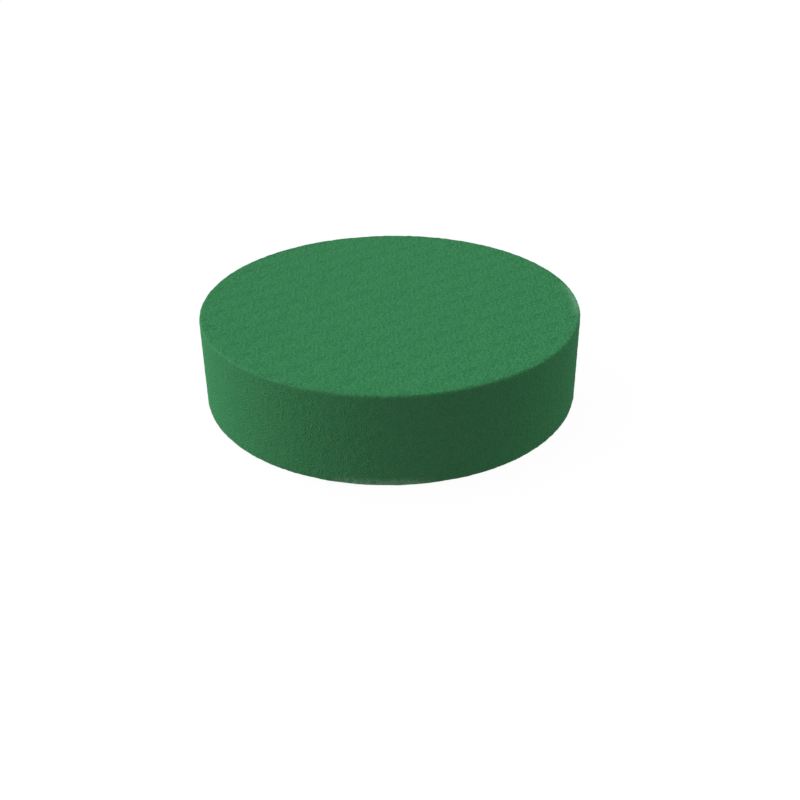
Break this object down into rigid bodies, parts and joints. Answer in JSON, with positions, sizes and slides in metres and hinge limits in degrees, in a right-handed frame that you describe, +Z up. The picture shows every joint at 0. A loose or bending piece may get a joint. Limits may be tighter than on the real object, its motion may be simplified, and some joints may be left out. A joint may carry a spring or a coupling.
{
  "type": "floral foam disc",
  "caption": "Plain round block of rigid green floral foam with flat faces, a straight wall and softly broken rims; it soaks up water and holds cut stems.",
  "frame": {"origin": "centre of the flat bottom face, on the surface the disc stands on", "axes": "+Z up along the disc's round axis, out of the top face; X and Y lie in the bottom face and are interchangeable"},
  "size_m": [0.2, 0.2, 0.05],
  "materials": {
    "floral_foam": "matt open-cell phenolic foam, dusty, with fine cells and cutter marks"
  },
  "bodies": {
    "root": {"foam_disc": "floral_foam"}
  },
  "joints": []
}
